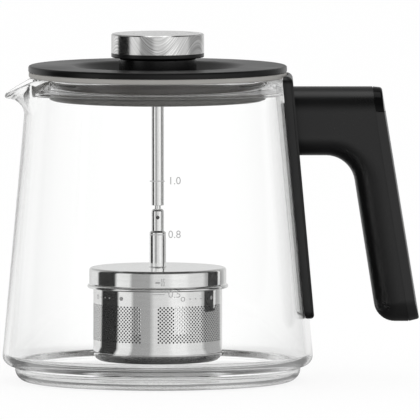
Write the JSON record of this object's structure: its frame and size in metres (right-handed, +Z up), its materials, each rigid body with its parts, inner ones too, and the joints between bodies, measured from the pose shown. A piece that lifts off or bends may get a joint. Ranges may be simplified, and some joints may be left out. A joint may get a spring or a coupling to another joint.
{
  "type": "automatic tea maker",
  "caption": "Glass jug with a pour spout, lift-off lid, side handle and a perforated infuser basket on a rod that a top knob pulls up.",
  "frame": {"origin": "centre of the flat underside of the jug's foot, on the jug's axis, where it stands", "axes": "+Z up along the jug's axis and the lift rod, +X towards the handle, -X towards the spout"},
  "size_m": [0.1791, 0.1334, 0.1496],
  "materials": {
    "borosilicate_glass": "clear, fire-polished edges",
    "grey_adhesive": "smooth bonded silicone pad",
    "black_plastic": "fine matte texture",
    "gloss_black_plastic": "gloss",
    "black_lid_plastic": "satin",
    "carrier_plastic": "satin",
    "warm_grey_silicone": "satin silicone",
    "dark_silicone": "satin silicone",
    "white_bush_plastic": "smooth",
    "brushed_knob_steel": "circular brushed",
    "polished_steel": "polished stainless steel",
    "basket_steel": "polished, perforated",
    "steel_fixing": "plain",
    "dark_pin_steel": "dark"
  },
  "bodies": {
    "jug": {"glass_jug": "borosilicate_glass", "bracket_pad": "grey_adhesive", "handle_bracket": "black_plastic", "bracket_cover": "black_plastic", "handle_screws": "steel_fixing", "handle_grip": "black_plastic", "handle_back_cover": "black_plastic", "thumb_cap": "gloss_black_plastic"},
    "lid": {"lid_disc": "black_lid_plastic", "seal_carrier": "carrier_plastic", "lid_seal": "warm_grey_silicone", "lid_screws": "steel_fixing", "rod_bush": "white_bush_plastic", "grip_ring": "dark_silicone"},
    "infuser": {"knob_cap": "brushed_knob_steel", "knob_core": "black_plastic", "knob_screw": "steel_fixing", "lift_rod": "polished_steel", "lower_stem": "polished_steel", "stem_pin": "dark_pin_steel", "infuser_lid": "polished_steel", "stud_washer": "steel_fixing", "stud_nut": "steel_fixing"},
    "basket": {"basket_shell": "basket_steel", "basket_rim": "polished_steel"}
  },
  "joints": [
    {"name": "lid_lift", "type": "slide", "parent": "jug", "child": "lid", "axis": [0, 0, 1], "range_m": [0, 0.135]},
    {"name": "infuser_lift", "type": "slide", "parent": "lid", "child": "infuser", "axis": [0, 0, 1], "range_m": [0, 0.0715]},
    {"name": "basket_twist", "type": "hinge", "parent": "infuser", "child": "basket", "pos_m": [0, 0, 0.0445], "axis": [0, 0, 1], "range_deg": [0, 20]}
  ]
}
